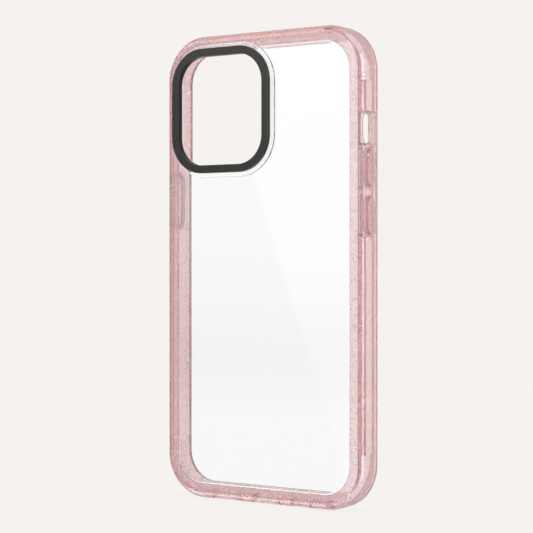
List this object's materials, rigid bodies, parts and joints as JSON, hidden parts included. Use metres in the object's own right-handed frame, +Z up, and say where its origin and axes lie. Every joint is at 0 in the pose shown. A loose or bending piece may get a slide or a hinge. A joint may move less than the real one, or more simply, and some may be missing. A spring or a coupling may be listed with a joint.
{
  "type": "phone case",
  "caption": "Clear-backed protective phone case: rigid transparent plate in a soft tinted bumper, framed camera opening, raised front lip, port slots and side keys.",
  "frame": {"origin": "bottom centre of the whole case standing upright on its bottom edge, midway between the camera ring's face and the front lip", "axes": "+Z up along the case's height, +X to the right as seen from the back, +Y from the back plate towards the screen side"},
  "size_m": [0.0844, 0.0136, 0.1664],
  "materials": {
    "glitter_tpu": "gloss",
    "clear_polycarbonate": "polished",
    "black_anodised_aluminium": "satin",
    "adhesive_film": "matte"
  },
  "bodies": {
    "case": {"bumper": "glitter_tpu", "back_plate": "clear_polycarbonate", "camera_ring": "black_anodised_aluminium", "camera_ring_film": "adhesive_film"},
    "volume_up_button": {"volume_up_button": "glitter_tpu"},
    "volume_down_button": {"volume_down_button": "glitter_tpu"},
    "power_button": {"power_button": "glitter_tpu"}
  },
  "joints": [
    {"name": "volume_up_press", "type": "slide", "parent": "case", "child": "volume_up_button", "axis": [-1, 0, 0], "range_m": [0, 0.00035], "stiffness_N_per_m": 3000},
    {"name": "volume_down_press", "type": "slide", "parent": "case", "child": "volume_down_button", "axis": [-1, 0, 0], "range_m": [0, 0.00035], "stiffness_N_per_m": 3000},
    {"name": "power_press", "type": "slide", "parent": "case", "child": "power_button", "axis": [1, 0, 0], "range_m": [0, 0.00035], "stiffness_N_per_m": 3000}
  ]
}
